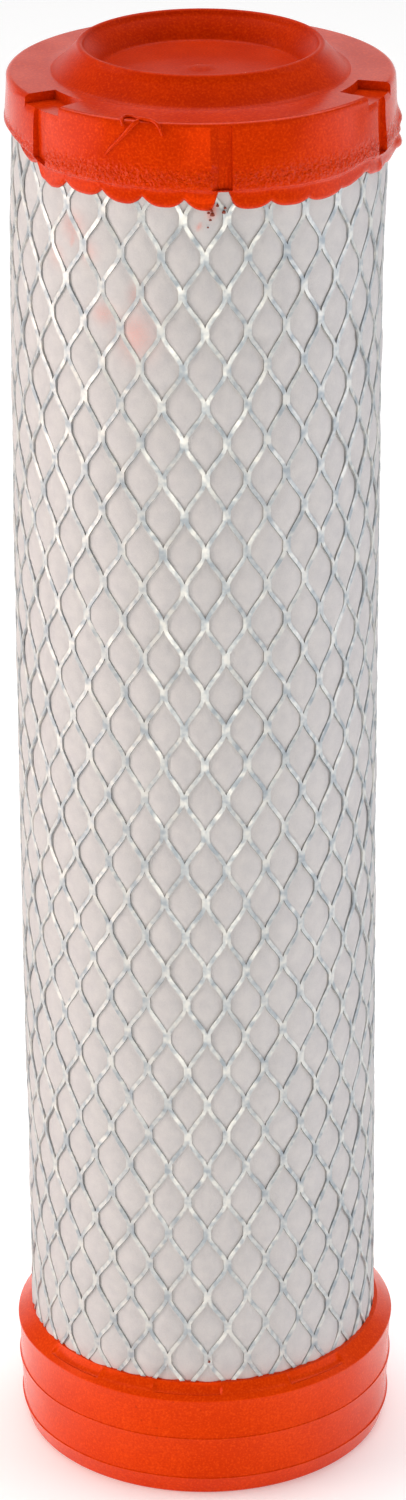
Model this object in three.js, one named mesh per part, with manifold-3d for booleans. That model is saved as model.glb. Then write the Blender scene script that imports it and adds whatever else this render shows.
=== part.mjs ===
// Cylindrical air-filter safety element, standing on its open end.
// Millimetres, +Z up. The origin is the middle of the open end's face.
// Azimuths are in degrees, from the front (-Y) towards the right (+X).

import * as THREE from "three";
import { mergeVertices } from "three/addons/utils/BufferGeometryUtils.js";
import Module from "manifold-3d";

const wasm = await Module();
wasm.setup();

// Driving dimensions
const BODY_RADIUS = 45;            // outside of the outer liner
const CORE_RADIUS = 35.2;          // inside of the inner liner
const HEIGHT = 371;                // open end's face to the top of the locating ring
const LINER_WALL = 0.9;
const LAYER_GAP = 0.3;
const CAST_GAP = 0.25;             // round the stack where a cap is cast onto it
const SIDES = 64;                  // facets round every turned piece
const ARC_DIVISIONS = 2;           // an arc of a profile has twice as many segments

// Filter stack: liner, two felt plies, liner
const STACK_BOTTOM = 4.3;
const STACK_TOP = 358;
const FELT_OUTER = BODY_RADIUS - LINER_WALL - LAYER_GAP;
const FELT_INNER = CORE_RADIUS + LINER_WALL + LAYER_GAP;
const PLY_WALL = (FELT_OUTER - FELT_INNER - LAYER_GAP) / 2;
const SEAM_SLIT = 3;               // opening between a ply's two butted edges
const OUTER_SEAM_AZIMUTH = 172;
const INNER_SEAM_AZIMUTH = -150;

// Closed end cap
const SHOULDER_HEIGHT = 364.4;
const SHOULDER_RADIUS = 46.1;
const SHOULDER_ROUND = 1.2;
const SKIRT_RADIUS = 46.7;         // at the skirt's lower step
const SKIRT_STEP_HEIGHT = 348.6;
const SKIRT_STEP = 0.6;
const FLASH_BOTTOM = 343.6;
const RING_RADIUS = 28.65;         // middle of the locating ring's crest
const RING_ROUND = 0.85;
const RING_FOOT_RADIUS = 36;
const DISH_RADIUS = 22.6;          // flat of the dish's floor
const DISH_FLOOR = 364.6;
const GROOVE_WIDTH = 5;
const GROOVE_FLOOR_RADIUS = BODY_RADIUS + 0.5;
const GROOVE_AZIMUTH = 6;
const GROOVE_COUNT = 6;
const POCKET_ANGLE = 17;
const POCKET_INNER_RADIUS = 38.2;
const POCKET_OUTER_RADIUS = 49;
const POCKET_DEPTH = 2.3;

// Open end cap
const BORE_RADIUS = 31.5;          // seals on the outlet tube
const BORE_TOP = 24;
const LEAD_IN = 3;                 // chamfer at the bore's mouth
const BASE_RADIUS = 47.1;
const BASE_ROUND = 0.9;
const LOWER_RIB = { radius: 48.4, height: 5.2 };
const WAIST_RADIUS = 48.2;
const UPPER_RIB = { radius: 48.9, height: 17.2 };
const RIM = { radius: 49.1, height: 28.8 };
const RIB_STEP = 0.35;
const LEDGE_TOP = 31.9;

// Closing disc
const DISC_RADIUS = CORE_RADIUS - 0.4;
const DISC_WALL = 0.8;
const DISC_TOP = 356.6;
const DISC_FLANGE = 5;

const material = (color, roughness, metalness) =>
  new THREE.MeshStandardMaterial({ color, roughness, metalness });

const polyurethane = () => material(0xe23a0c, 0.48, 0);
const galvanised = () => material(0xaab0b5, 0.38, 0.9);
const felt = () => material(0xdbd6d4, 0.95, 0);
const hotMelt = () => material(0xd9cfae, 0.4, 0);

// Turns a profile of (radius, height) points round the Z axis.
function turned(profile) {
  return new THREE.LatheGeometry(profile.getPoints(ARC_DIVISIONS), SIDES).rotateX(Math.PI / 2);
}

// A plain sleeve between two radii and two heights.
function sleeve(outer, inner, bottom, top) {
  const profile = new THREE.Path()
    .moveTo(inner, bottom)
    .lineTo(outer, bottom)
    .lineTo(outer, top)
    .lineTo(inner, top)
    .lineTo(inner, bottom);
  return turned(profile);
}

// A closed solid that can be cut.
function toSolid(geometry) {
  geometry.deleteAttribute("normal");
  geometry.deleteAttribute("uv");
  const merged = mergeVertices(geometry);
  const corners = merged.index.array;
  const triangles = [];
  for (let i = 0; i < corners.length; i += 3) {
    const [a, b, c] = corners.slice(i, i + 3);
    if (a !== b && b !== c && c !== a) triangles.push(a, b, c);
  }
  const mesh = new wasm.Mesh({
    numProp: 3,
    vertProperties: new Float32Array(merged.attributes.position.array),
    triVerts: new Uint32Array(triangles),
  });
  return new wasm.Manifold(mesh);
}

// The cut solid's faces as a geometry.
function toGeometry(solid) {
  const mesh = solid.getMesh();
  const geometry = new THREE.BufferGeometry();
  geometry.setAttribute("position", new THREE.BufferAttribute(mesh.vertProperties, 3));
  geometry.setIndex(new THREE.BufferAttribute(mesh.triVerts, 1));
  geometry.computeVertexNormals();
  return geometry;
}

function cut(geometry, cutters) {
  const cutSolid = cutters.reduce((solid, cutter) => solid.subtract(toSolid(cutter)), toSolid(geometry));
  return toGeometry(cutSolid);
}

// A box that spans two radii and two heights at an azimuth.
function radialBox(width, innerRadius, outerRadius, bottom, top, azimuth) {
  const depth = outerRadius - innerRadius;
  return new THREE.BoxGeometry(width, depth, top - bottom)
    .translate(0, -innerRadius - depth / 2, (bottom + top) / 2)
    .rotateZ(THREE.MathUtils.degToRad(azimuth));
}

// One support pocket: a sector of the shoulder, sunk and open outwards.
function pocketCutter(azimuth) {
  const half = THREE.MathUtils.degToRad(POCKET_ANGLE / 2);
  const front = -Math.PI / 2;
  const outline = new THREE.Shape()
    .absarc(0, 0, POCKET_OUTER_RADIUS, front - half, front + half, false)
    .absarc(0, 0, POCKET_INNER_RADIUS, front + half, front - half, true);
  const options = { depth: POCKET_DEPTH + 1, bevelEnabled: false, curveSegments: ARC_DIVISIONS };
  return new THREE.ExtrudeGeometry(outline, options)
    .translate(0, 0, SHOULDER_HEIGHT - POCKET_DEPTH)
    .rotateZ(THREE.MathUtils.degToRad(azimuth));
}

function closedEndCap() {
  const plugRadius = CORE_RADIUS - LAYER_GAP;
  const castRadius = BODY_RADIUS + CAST_GAP;
  const crestHeight = HEIGHT - RING_ROUND;
  const dishWall = 1.3;
  const profile = new THREE.Path()
    .moveTo(0, DISC_TOP + LAYER_GAP)
    .lineTo(plugRadius, DISC_TOP + LAYER_GAP)
    .lineTo(plugRadius, STACK_TOP + LAYER_GAP)
    .lineTo(castRadius, STACK_TOP + LAYER_GAP)
    .lineTo(castRadius, FLASH_BOTTOM)
    .lineTo(castRadius + SKIRT_STEP, FLASH_BOTTOM)
    .lineTo(SKIRT_RADIUS - SKIRT_STEP, SKIRT_STEP_HEIGHT)
    .lineTo(SKIRT_RADIUS, SKIRT_STEP_HEIGHT + SKIRT_STEP)
    .lineTo(SHOULDER_RADIUS, SHOULDER_HEIGHT - SHOULDER_ROUND)
    .absarc(SHOULDER_RADIUS - SHOULDER_ROUND, SHOULDER_HEIGHT - SHOULDER_ROUND,
      SHOULDER_ROUND, 0, Math.PI / 2, false)
    .lineTo(RING_FOOT_RADIUS, SHOULDER_HEIGHT)
    .quadraticCurveTo(RING_RADIUS + 3.4, SHOULDER_HEIGHT + 0.2, RING_RADIUS + RING_ROUND, crestHeight)
    .absarc(RING_RADIUS, crestHeight, RING_ROUND, 0, Math.PI, false)
    .quadraticCurveTo(DISH_RADIUS + dishWall, DISH_FLOOR, DISH_RADIUS, DISH_FLOOR)
    .lineTo(0, DISH_FLOOR);

  const cutters = [];
  for (let i = 0; i < GROOVE_COUNT; i += 1) {
    const azimuth = GROOVE_AZIMUTH + (i * 360) / GROOVE_COUNT;
    const grooveTop = SHOULDER_HEIGHT - SHOULDER_ROUND / 2;
    cutters.push(radialBox(GROOVE_WIDTH, GROOVE_FLOOR_RADIUS, SKIRT_RADIUS + 1,
      FLASH_BOTTOM - 1, grooveTop, azimuth));
    if (i % 2 === 1) cutters.push(pocketCutter(azimuth));
  }
  return cut(turned(profile), cutters);
}

function openEndCap() {
  const wallInner = CORE_RADIUS - LAYER_GAP;
  const castRadius = BODY_RADIUS + CAST_GAP;
  const pocketFloor = STACK_BOTTOM - LAYER_GAP;
  const waistHeight = (LOWER_RIB.height + UPPER_RIB.height) / 2;
  const profile = new THREE.Path()
    .moveTo(BORE_RADIUS + LEAD_IN, 0)
    .lineTo(BASE_RADIUS - BASE_ROUND, 0)
    .absarc(BASE_RADIUS - BASE_ROUND, BASE_ROUND, BASE_ROUND, -Math.PI / 2, 0, false)
    .lineTo(LOWER_RIB.radius, LOWER_RIB.height)
    .lineTo(LOWER_RIB.radius - RIB_STEP, LOWER_RIB.height + RIB_STEP)
    .lineTo(WAIST_RADIUS, waistHeight)
    .lineTo(UPPER_RIB.radius, UPPER_RIB.height)
    .lineTo(UPPER_RIB.radius - RIB_STEP, UPPER_RIB.height + RIB_STEP)
    .quadraticCurveTo(WAIST_RADIUS, waistHeight + UPPER_RIB.height - LOWER_RIB.height,
      RIM.radius, RIM.height - RIB_STEP)
    .lineTo(RIM.radius - RIB_STEP, RIM.height)
    .lineTo(castRadius, LEDGE_TOP)
    .lineTo(castRadius, pocketFloor)
    .lineTo(wallInner, pocketFloor)
    .lineTo(wallInner, BORE_TOP)
    .lineTo(BORE_RADIUS + LEAD_IN / 2, BORE_TOP)
    .lineTo(BORE_RADIUS, BORE_TOP - LEAD_IN)
    .lineTo(BORE_RADIUS, 2 * LEAD_IN)
    .lineTo(BORE_RADIUS + LEAD_IN, 0);
  return turned(profile);
}

function closingDisc() {
  const profile = new THREE.Path()
    .moveTo(0, DISC_TOP - DISC_WALL)
    .lineTo(DISC_RADIUS - DISC_WALL, DISC_TOP - DISC_WALL)
    .lineTo(DISC_RADIUS - DISC_WALL, DISC_TOP - DISC_FLANGE)
    .lineTo(DISC_RADIUS, DISC_TOP - DISC_FLANGE)
    .lineTo(DISC_RADIUS, DISC_TOP - DISC_WALL)
    .lineTo(DISC_RADIUS - DISC_WALL, DISC_TOP)
    .lineTo(0, DISC_TOP);
  return turned(profile);
}

// A felt ply, open along its butt joint.
function feltPly(outer, inner, azimuth) {
  const slit = radialBox(SEAM_SLIT, inner - 1, outer + 1, STACK_BOTTOM - 1, STACK_TOP + 1, azimuth);
  return cut(sleeve(outer, inner, STACK_BOTTOM, STACK_TOP), [slit]);
}

// The glue bead that fills a ply's joint.
function feltSeam(outer, inner, azimuth) {
  const width = SEAM_SLIT - 2 * LAYER_GAP;
  const inset = 0.3;
  return radialBox(width, inner + inset, outer - inset, STACK_BOTTOM, STACK_TOP, azimuth);
}

const plySplit = FELT_OUTER - PLY_WALL;

const pieces = [
  ["open_end_cap", openEndCap(), polyurethane()],
  ["closed_end_cap", closedEndCap(), polyurethane()],
  ["closing_disc", closingDisc(), galvanised()],
  ["outer_liner", sleeve(BODY_RADIUS, BODY_RADIUS - LINER_WALL, STACK_BOTTOM, STACK_TOP), galvanised()],
  ["inner_liner", sleeve(CORE_RADIUS + LINER_WALL, CORE_RADIUS, STACK_BOTTOM, STACK_TOP), galvanised()],
  ["outer_felt_ply", feltPly(FELT_OUTER, plySplit, OUTER_SEAM_AZIMUTH), felt()],
  ["inner_felt_ply", feltPly(plySplit - LAYER_GAP, FELT_INNER, INNER_SEAM_AZIMUTH), felt()],
  ["outer_felt_seam", feltSeam(FELT_OUTER, plySplit, OUTER_SEAM_AZIMUTH), hotMelt()],
  ["inner_felt_seam", feltSeam(plySplit - LAYER_GAP, FELT_INNER, INNER_SEAM_AZIMUTH), hotMelt()],
];

const element = new THREE.Group();
for (const [name, geometry, finish] of pieces) {
  const piece = new THREE.Mesh(geometry, finish);
  piece.name = name;
  element.add(piece);
}

export default element;
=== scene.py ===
"""Finished surfaces of a cylindrical air-filter safety element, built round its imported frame.

Heights and radii are in millimetres. Azimuths are in degrees, from the front (-Y) towards the
right (+X), so a point stands at (r sin a, -r cos a, z).
"""

import logging
import math
from contextlib import contextmanager
from dataclasses import dataclass, field
from enum import Enum
from typing import Any, Callable, Iterator

import bmesh
import bpy
import numpy as np
from mathutils import Matrix, Vector


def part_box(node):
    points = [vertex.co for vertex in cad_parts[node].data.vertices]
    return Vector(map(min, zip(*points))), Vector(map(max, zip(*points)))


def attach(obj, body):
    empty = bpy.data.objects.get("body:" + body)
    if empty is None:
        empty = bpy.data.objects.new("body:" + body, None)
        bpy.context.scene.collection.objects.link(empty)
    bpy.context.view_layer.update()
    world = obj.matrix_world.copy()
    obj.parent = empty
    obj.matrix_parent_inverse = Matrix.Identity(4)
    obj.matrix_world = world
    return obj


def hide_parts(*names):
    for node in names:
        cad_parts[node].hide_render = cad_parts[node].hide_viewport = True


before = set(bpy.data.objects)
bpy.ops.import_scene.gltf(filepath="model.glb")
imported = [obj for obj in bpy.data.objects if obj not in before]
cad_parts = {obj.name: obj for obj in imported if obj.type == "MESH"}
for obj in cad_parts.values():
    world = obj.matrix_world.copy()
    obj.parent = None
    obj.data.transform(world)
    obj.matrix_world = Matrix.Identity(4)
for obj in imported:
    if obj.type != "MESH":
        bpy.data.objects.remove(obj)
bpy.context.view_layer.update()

BODY = "root"
MM = 0.001

logging.basicConfig(level=logging.INFO, format="%(message)s")
log = logging.getLogger("safety_element")

Points = np.ndarray


class Slot(Enum):
    """Material slots of the record."""

    URETHANE = "cast_polyurethane"
    STEEL = "galvanised_steel"
    FELT = "needled_felt"
    GLUE = "hot_melt_glue"


LINER_WALL = 0.9
PLUG_RADIUS = 34.9  # both caps' castings reach this far in, against the core
OUTER_SEAM_AZIMUTH = 172
INNER_SEAM_AZIMUTH = -150
POLE_RADIUS = 1.5  # an outline that starts or ends inside this is closed to a pole
BOW_HEIGHTS = (4, 40, 90, 130, 170, 210, 250, 290, 325, 342, 350)
BOW = (0.3, 0.5, 0.8, 1.15, 1.35, 1.42, 1.4, 1.3, 1.0, 0.4, 0.1)  # the stack's sag to the left
LEAN = (0.0, 0.0, 0.5, 1.0, 1.35, 1.5, 1.4, 1.1, 0.6, 0.2, 0.0)  # the lattice's turn in degrees


# ---------------------------------------------------------------- small tools


def linear(hex_colour: str) -> tuple[float, float, float, float]:
    """Turns an sRGB hex colour to linear.

    Args:
        hex_colour: Six hex digits with a leading hash.

    Returns:
        Linear red, green and blue, and an alpha of 1.
    """
    channels = [int(hex_colour[i : i + 2], 16) / 255 for i in (1, 3, 5)]
    red, green, blue = [
        c / 12.92 if c <= 0.04045 else ((c + 0.055) / 1.055) ** 2.4 for c in channels
    ]
    return red, green, blue, 1.0


def smooth_step(x: Points | float) -> Points:
    """Eases from 0 to 1 as x goes from 0 to 1.

    Args:
        x: Any number or numbers.

    Returns:
        The eased values, held from 0 to 1.
    """
    t = np.clip(x, 0.0, 1.0)
    return t * t * (3.0 - 2.0 * t)


def turn_difference(azimuth: Points, target: float) -> Points:
    """Signed degrees from a target azimuth, from -180 to 180.

    Args:
        azimuth: Degrees from the front.
        target: The azimuth to measure from.

    Returns:
        The turn from the target to each azimuth.
    """
    return (azimuth - target + 180.0) % 360.0 - 180.0


def place(azimuth: float, radius: float, height: float) -> Vector:
    """A point on a cylinder, in metres, from degrees and millimetres.

    Args:
        azimuth: Degrees from the front.
        radius: Millimetres from the axis.
        height: Millimetres above the open end.

    Returns:
        The point.
    """
    a = math.radians(azimuth)
    return Vector((radius * math.sin(a), -radius * math.cos(a), height)) * MM


def node_height(node: str) -> tuple[float, float]:
    """Lowest and highest height of a CAD node, in millimetres.

    Args:
        node: The node's name.

    Returns:
        The two heights.
    """
    low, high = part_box(node)
    return low.z / MM, high.z / MM


def node_radius(node: str) -> float:
    """Outer radius of a turned CAD node, in millimetres.

    Args:
        node: The node's name.

    Returns:
        The radius.
    """
    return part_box(node)[1].x / MM


@contextmanager
def editing(piece: bpy.types.Object, mode: str = "VERT") -> Iterator[None]:
    """Holds one object in edit mode with nothing selected.

    Args:
        piece: The mesh object to edit.
        mode: What is selected in it: VERT, EDGE or FACE.
    """
    bpy.ops.object.select_all(action="DESELECT")
    bpy.context.view_layer.objects.active = piece
    piece.select_set(True)
    bpy.ops.object.mode_set(mode="EDIT")
    bpy.ops.mesh.select_mode(type=mode)
    bpy.ops.mesh.select_all(action="DESELECT")
    try:
        yield
    finally:
        bpy.ops.object.mode_set(mode="OBJECT")


def activate(piece: bpy.types.Object) -> None:
    """Selects one object alone."""
    bpy.ops.object.select_all(action="DESELECT")
    bpy.context.view_layer.objects.active = piece
    piece.select_set(True)


def select_faces(piece: bpy.types.Object, test: Callable[[Vector, Vector], bool]) -> None:
    """Selects the faces of the edited mesh that pass a test.

    Args:
        piece: The object in edit mode.
        test: Takes a face's middle, in millimetres, and its normal.
    """
    mesh = bmesh.from_edit_mesh(piece.data)
    for face in mesh.faces:
        face.select_set(test(face.calc_center_median() / MM, face.normal))
    bmesh.update_edit_mesh(piece.data)


def move_points(piece: bpy.types.Object, rule: Callable[[Points, Points, Points], tuple]) -> None:
    """Moves every vertex by a rule on its azimuth, radius and height.

    Args:
        piece: The mesh object.
        rule: Takes and returns azimuths in degrees, and radii and heights in millimetres.
    """
    mesh = piece.data
    flat = np.empty(len(mesh.vertices) * 3)
    mesh.vertices.foreach_get("co", flat)
    x, y, z = flat.reshape(-1, 3).T / MM
    azimuth, radius, height = rule(np.degrees(np.arctan2(x, -y)), np.hypot(x, y), z)
    a = np.radians(azimuth)
    moved = np.stack([radius * np.sin(a), -radius * np.cos(a), height], axis=1) * MM
    mesh.vertices.foreach_set("co", moved.ravel())
    mesh.update()


def close_up(piece: bpy.types.Object, merge_distance: float = 0.0005) -> None:
    """Merges doubles, in millimetres apart, and turns every face outwards."""
    with editing(piece):
        bpy.ops.mesh.select_all(action="SELECT")
        bpy.ops.mesh.remove_doubles(threshold=merge_distance * MM)
        bpy.ops.mesh.normals_make_consistent(inside=False)


def settle(piece: bpy.types.Object, name: str, smooth_angle: float = 35.0) -> bpy.types.Object:
    """Names a finished mesh, puts its place in the mesh and shades it smooth.

    Args:
        piece: The mesh object.
        name: The piece's name, which its mesh takes too.
        smooth_angle: Edges sharper than this, in degrees, stay sharp.

    Returns:
        The same object.
    """
    activate(piece)
    bpy.ops.object.transform_apply(location=True, rotation=True, scale=True)
    bpy.ops.object.shade_smooth_by_angle(angle=math.radians(smooth_angle))
    piece.name = name
    piece.data.name = name
    return piece


def fit_out(piece: bpy.types.Object, finish: bpy.types.Material, slot: Slot, *nodes: str) -> None:
    """Gives a piece its material and its body, and hides the CAD nodes it stands for.

    Args:
        piece: The finished piece.
        finish: Its material.
        slot: The record's slot for it; not used.
        nodes: CAD nodes that it replaces, if any.
    """
    piece.data.materials.clear()
    piece.data.materials.append(finish)
    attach(piece, BODY)
    if nodes:
        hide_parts(*nodes)
    log.info("%s: %d faces, %s", piece.name, len(piece.data.polygons), finish.name)


# ---------------------------------------------------------------- turned shapes


@dataclass
class Outline:
    """Half section of a turned piece, as (radius, height) points in millimetres."""

    points: list[tuple[float, float]] = field(default_factory=list)

    def line(self, radius: float, height: float, parts: int = 1) -> "Outline":
        """Goes straight to a point in equal parts."""
        if not self.points:
            self.points.append((radius, height))
            return self
        r0, z0 = self.points[-1]
        if math.hypot(radius - r0, height - z0) < 1e-6:
            return self
        for i in range(1, parts + 1):
            t = i / parts
            self.points.append((r0 + (radius - r0) * t, z0 + (height - z0) * t))
        return self

    def arc(
        self, centre: tuple[float, float], size: float, start: float, end: float, parts: int
    ) -> "Outline":
        """Follows a circle between two angles.

        Args:
            centre: Radius and height of the circle's middle.
            size: The circle's own radius.
            start: First angle in degrees, with 0 outwards and 90 upwards.
            end: Last angle.
            parts: Number of segments.

        Returns:
            The same outline.
        """
        for i in range(parts + 1):
            a = math.radians(start + (end - start) * i / parts)
            self.line(centre[0] + size * math.cos(a), centre[1] + size * math.sin(a))
        return self

    def curve(
        self, control: tuple[float, float], end: tuple[float, float], parts: int
    ) -> "Outline":
        """Follows a quadratic curve to its end, pulled towards a control point."""
        r0, z0 = self.points[-1]
        for i in range(1, parts + 1):
            t = i / parts
            a, b, c = (1 - t) ** 2, 2 * t * (1 - t), t * t
            self.line(a * r0 + b * control[0] + c * end[0], a * z0 + b * control[1] + c * end[1])
        return self

    def turned(self, name: str, sides: int) -> bpy.types.Object:
        """Runs a ring of edges along the outline by extruding and resizing it.

        Args:
            name: The new object's name.
            sides: Number of edges round the ring.

        Returns:
            A closed mesh object: an outline that starts or ends near the axis gets a pole there,
            and any other closes on itself.
        """
        (radius, height), *rest = self.points
        bpy.ops.object.select_all(action="DESELECT")
        bpy.ops.mesh.primitive_circle_add(
            vertices=sides, radius=radius * MM, location=(0, 0, height * MM), rotation=(0, 0, 0)
        )
        piece = bpy.context.object
        piece.name = name
        activate(piece)
        bpy.ops.object.transform_apply(location=True, rotation=True, scale=True)
        pole_below = radius < POLE_RADIUS
        with editing(piece):
            bpy.ops.mesh.select_all(action="SELECT")
            if pole_below:
                bpy.ops.mesh.extrude_edges_move()
                bpy.ops.mesh.merge(type="CENTER")
                self._select_ring(piece, radius, height)
            for next_radius, next_height in rest:
                rise = (next_height - height) * MM
                bpy.ops.mesh.extrude_edges_move(TRANSFORM_OT_translate={"value": (0, 0, rise)})
                ratio = next_radius / radius
                middle = (0, 0, next_height * MM)
                bpy.ops.transform.resize(value=(ratio, ratio, 1), center_override=middle)
                radius, height = next_radius, next_height
            if radius < POLE_RADIUS:
                bpy.ops.mesh.extrude_edges_move()
                bpy.ops.mesh.merge(type="CENTER")
        close_up(piece)
        return piece

    def _select_ring(self, piece: bpy.types.Object, radius: float, height: float) -> None:
        """Selects the edges of one ring of the edited mesh."""
        mesh = bmesh.from_edit_mesh(piece.data)
        for vertex in mesh.verts:
            flat = Vector((vertex.co.x, vertex.co.y)).length / MM
            vertex.select_set(abs(flat - radius) < 0.01 and abs(vertex.co.z / MM - height) < 0.01)
        mesh.select_flush(True)
        bmesh.update_edit_mesh(piece.data)


# ---------------------------------------------------------------- expanded metal


@dataclass(frozen=True)
class ExpandedMetal:
    """Pattern of an expanded-metal tube: knots in offset rows, joined by slanting strands."""

    radius: float
    cells: int
    bottom: float
    top: float
    pitch: float = 18.38
    strand_width: float = 0.98
    strand_thickness: float = 0.5
    knot_length: float = 2.6
    knot_height: float = 38.1
    knot_azimuth: float = 1.35
    wander: float = 0.22
    twist: float = 12.0
    bend_parts: int = 6

    @property
    def cell_width(self) -> float:
        """Distance between two knots of one row."""
        return 2 * math.pi * self.radius / self.cells

    def bowed(self, azimuth: Points, radius: Points, height: Points) -> tuple:
        """Moves points sideways as the rolled tube bows to the left between its caps."""
        a = np.radians(azimuth)
        x = radius * np.sin(a) - np.interp(height, BOW_HEIGHTS, BOW)
        y = -radius * np.cos(a)
        return np.degrees(np.arctan2(x, -y)), np.hypot(x, y), height

    def drift(self, azimuth: Points, height: Points) -> tuple[Points, Points]:
        """How far the rolled sheet strays from a perfect pattern, in millimetres round and up."""
        a = np.radians(azimuth)
        lean = np.radians(np.interp(height, BOW_HEIGHTS, LEAN)) * self.radius
        across = np.sin(3 * a + height / 41) + 0.7 * np.sin(8 * a - height / 23 + 1.3)
        along = np.sin(5 * a - height / 33 + 2.1) + 0.6 * np.sin(11 * a + height / 19)
        return lean + self.wander * across, self.wander * along

    def strand_offset(self, height: Points) -> Points:
        """Distance of a strand's middle from its knot column at a height.

        Args:
            height: Millimetres above the open end.

        Returns:
            Millimetres round the tube.
        """
        rows = (height - self.knot_height) / self.pitch
        from_row = np.abs((rows + 0.5) % 1.0 - 0.5) * self.pitch
        t = np.clip((from_row - self.knot_length / 2) / (self.pitch / 2 - self.knot_length), 0, 1)
        eased = 0.6 * t + 0.4 * smooth_step(t)
        return self.strand_width * 0.48 + (self.cell_width / 2 - 0.96 * self.strand_width) * eased

    def distance_to_strand(self, azimuth: Points, height: Points) -> Points:
        """Millimetres from points on the tube to the middle of the nearest strand.

        Args:
            azimuth: Degrees from the front.
            height: Millimetres above the open end.

        Returns:
            The distances.
        """
        across, along = self.drift(azimuth, height)
        x = np.radians(azimuth - self.knot_azimuth) * self.radius - across
        z = height - along
        from_column = np.abs((x / self.cell_width + 0.5) % 1.0 - 0.5) * self.cell_width
        slope = 0.84  # cosine of the strands' slant
        return np.abs(from_column - self.strand_offset(z)) * slope

    def _stations(self) -> list[tuple[float, float, float, float]]:
        """One period of a strand as its offset, height, width across and twist."""
        half_knot = self.knot_length / 2
        half = self.pitch / 2
        rise = (half - self.knot_length) / self.bend_parts
        heights = [-half_knot, 0.0]
        for middle in (0.0, half):
            heights += [middle + half_knot + rise * i for i in range(self.bend_parts + 1)]
            heights += [middle + half]
        heights[-1] = self.pitch - half_knot
        stations = []
        for z in sorted(set(round(h, 6) for h in heights)):
            height = self.knot_height + z
            step = 0.05
            pair = self.strand_offset(np.array([height - step, height + step]))
            slope = (pair[1] - pair[0]) / (2 * step)
            width = self.strand_width * math.hypot(1.0, slope)
            turn = self.twist * math.sin(2 * math.pi * z / self.pitch)
            offset = float(self.strand_offset(np.array([height]))[0])
            stations.append((offset, height, width, turn))
        return stations

    def _one_period(self) -> bpy.types.Object:
        """Extrudes a strand's section along one period, from knot to knot."""
        (x, z, width, turn), *rest = self._stations()
        bpy.ops.object.select_all(action="DESELECT")
        bpy.ops.mesh.primitive_plane_add(size=1)
        strand = bpy.context.object
        with editing(strand):
            bpy.ops.mesh.select_all(action="SELECT")
            section = (width * MM, self.strand_thickness * MM, 1)
            bpy.ops.transform.resize(value=section, center_override=(0, 0, 0))
            bpy.ops.transform.rotate(
                value=math.radians(turn), orient_axis="Z", center_override=(0, 0, 0)
            )
            bpy.ops.transform.translate(value=(x * MM, -self.radius * MM, z * MM))
            for next_x, next_z, next_width, next_turn in rest:
                step = ((next_x - x) * MM, 0, (next_z - z) * MM)
                bpy.ops.mesh.extrude_region_move(TRANSFORM_OT_translate={"value": step})
                middle = (next_x * MM, -self.radius * MM, next_z * MM)
                bpy.ops.transform.resize(value=(next_width / width, 1, 1), center_override=middle)
                bpy.ops.transform.rotate(
                    value=math.radians(next_turn - turn), orient_axis="Z", center_override=middle
                )
                x, z, width, turn = next_x, next_z, next_width, next_turn
            bpy.ops.mesh.select_all(action="DESELECT")
            bpy.ops.mesh.select_mode(type="FACE")
            select_faces(strand, lambda middle, normal: abs(normal.z) > 0.95)
            bpy.ops.mesh.delete(type="FACE")
        return strand

    def build(self, name: str) -> bpy.types.Object:
        """Models one strand and repeats it up and round the tube.

        Args:
            name: The piece's name.

        Returns:
            The lattice, cut to its two heights, as one mesh.
        """
        strand = self._one_period()
        below = math.ceil((self.knot_height - self.bottom) / self.pitch)
        periods = below + math.ceil((self.top - self.knot_height) / self.pitch)
        strand.location.z = -below * self.pitch * MM
        activate(strand)
        bpy.ops.object.transform_apply(location=True, rotation=True, scale=True)

        stack = strand.modifiers.new("stack", "ARRAY")
        stack.count = periods
        stack.use_relative_offset = False
        stack.use_constant_offset = True
        stack.constant_offset_displace = (0, 0, self.pitch * MM)
        stack.use_merge_vertices = True
        stack.merge_threshold = 0.01 * MM
        strand.modifiers.new("other_side", "MIRROR").use_mirror_merge = False
        for modifier in ("stack", "other_side"):
            bpy.ops.object.modifier_apply(modifier=modifier)
        move_points(strand, self._wrap)

        bpy.ops.object.empty_add(location=(0, 0, 0), rotation=(0, 0, 2 * math.pi / self.cells))
        turn = bpy.context.object
        activate(strand)
        ring = strand.modifiers.new("ring", "ARRAY")
        ring.count = self.cells
        ring.use_relative_offset = False
        ring.use_object_offset = True
        ring.offset_object = turn
        bpy.ops.object.modifier_apply(modifier="ring")
        bpy.data.objects.remove(turn)

        with editing(strand):
            for height, upper in ((self.bottom, False), (self.top, True)):
                bpy.ops.mesh.select_all(action="SELECT")
                bpy.ops.mesh.bisect(
                    plane_co=(0, 0, height * MM),
                    plane_no=(0, 0, 1),
                    use_fill=True,
                    clear_inner=not upper,
                    clear_outer=upper,
                )
            bpy.ops.mesh.select_all(action="SELECT")
            bpy.ops.mesh.normals_make_consistent(inside=False)
        move_points(strand, self._stray)
        move_points(strand, self.bowed)
        return settle(strand, name)

    def _wrap(self, azimuth: Points, radius: Points, height: Points) -> tuple:
        """Bends a flat strand in front of the tube round it, and turns it to the first column."""
        a = np.radians(azimuth)
        across = radius * np.sin(a)
        return np.degrees(across / self.radius) + self.knot_azimuth, radius * np.cos(a), height

    def _stray(self, azimuth: Points, radius: Points, height: Points) -> tuple:
        """Moves the even pattern by its drift, and ripples it a little in and out."""
        across, along = self.drift(azimuth, height)
        a = np.radians(azimuth)
        ripple = 0.06 * np.sin(4 * a + height / 17) + 0.05 * np.sin(9 * a - height / 11)
        return azimuth + np.degrees(across / self.radius), radius + ripple, height + along


# ---------------------------------------------------------------- finishes


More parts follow.
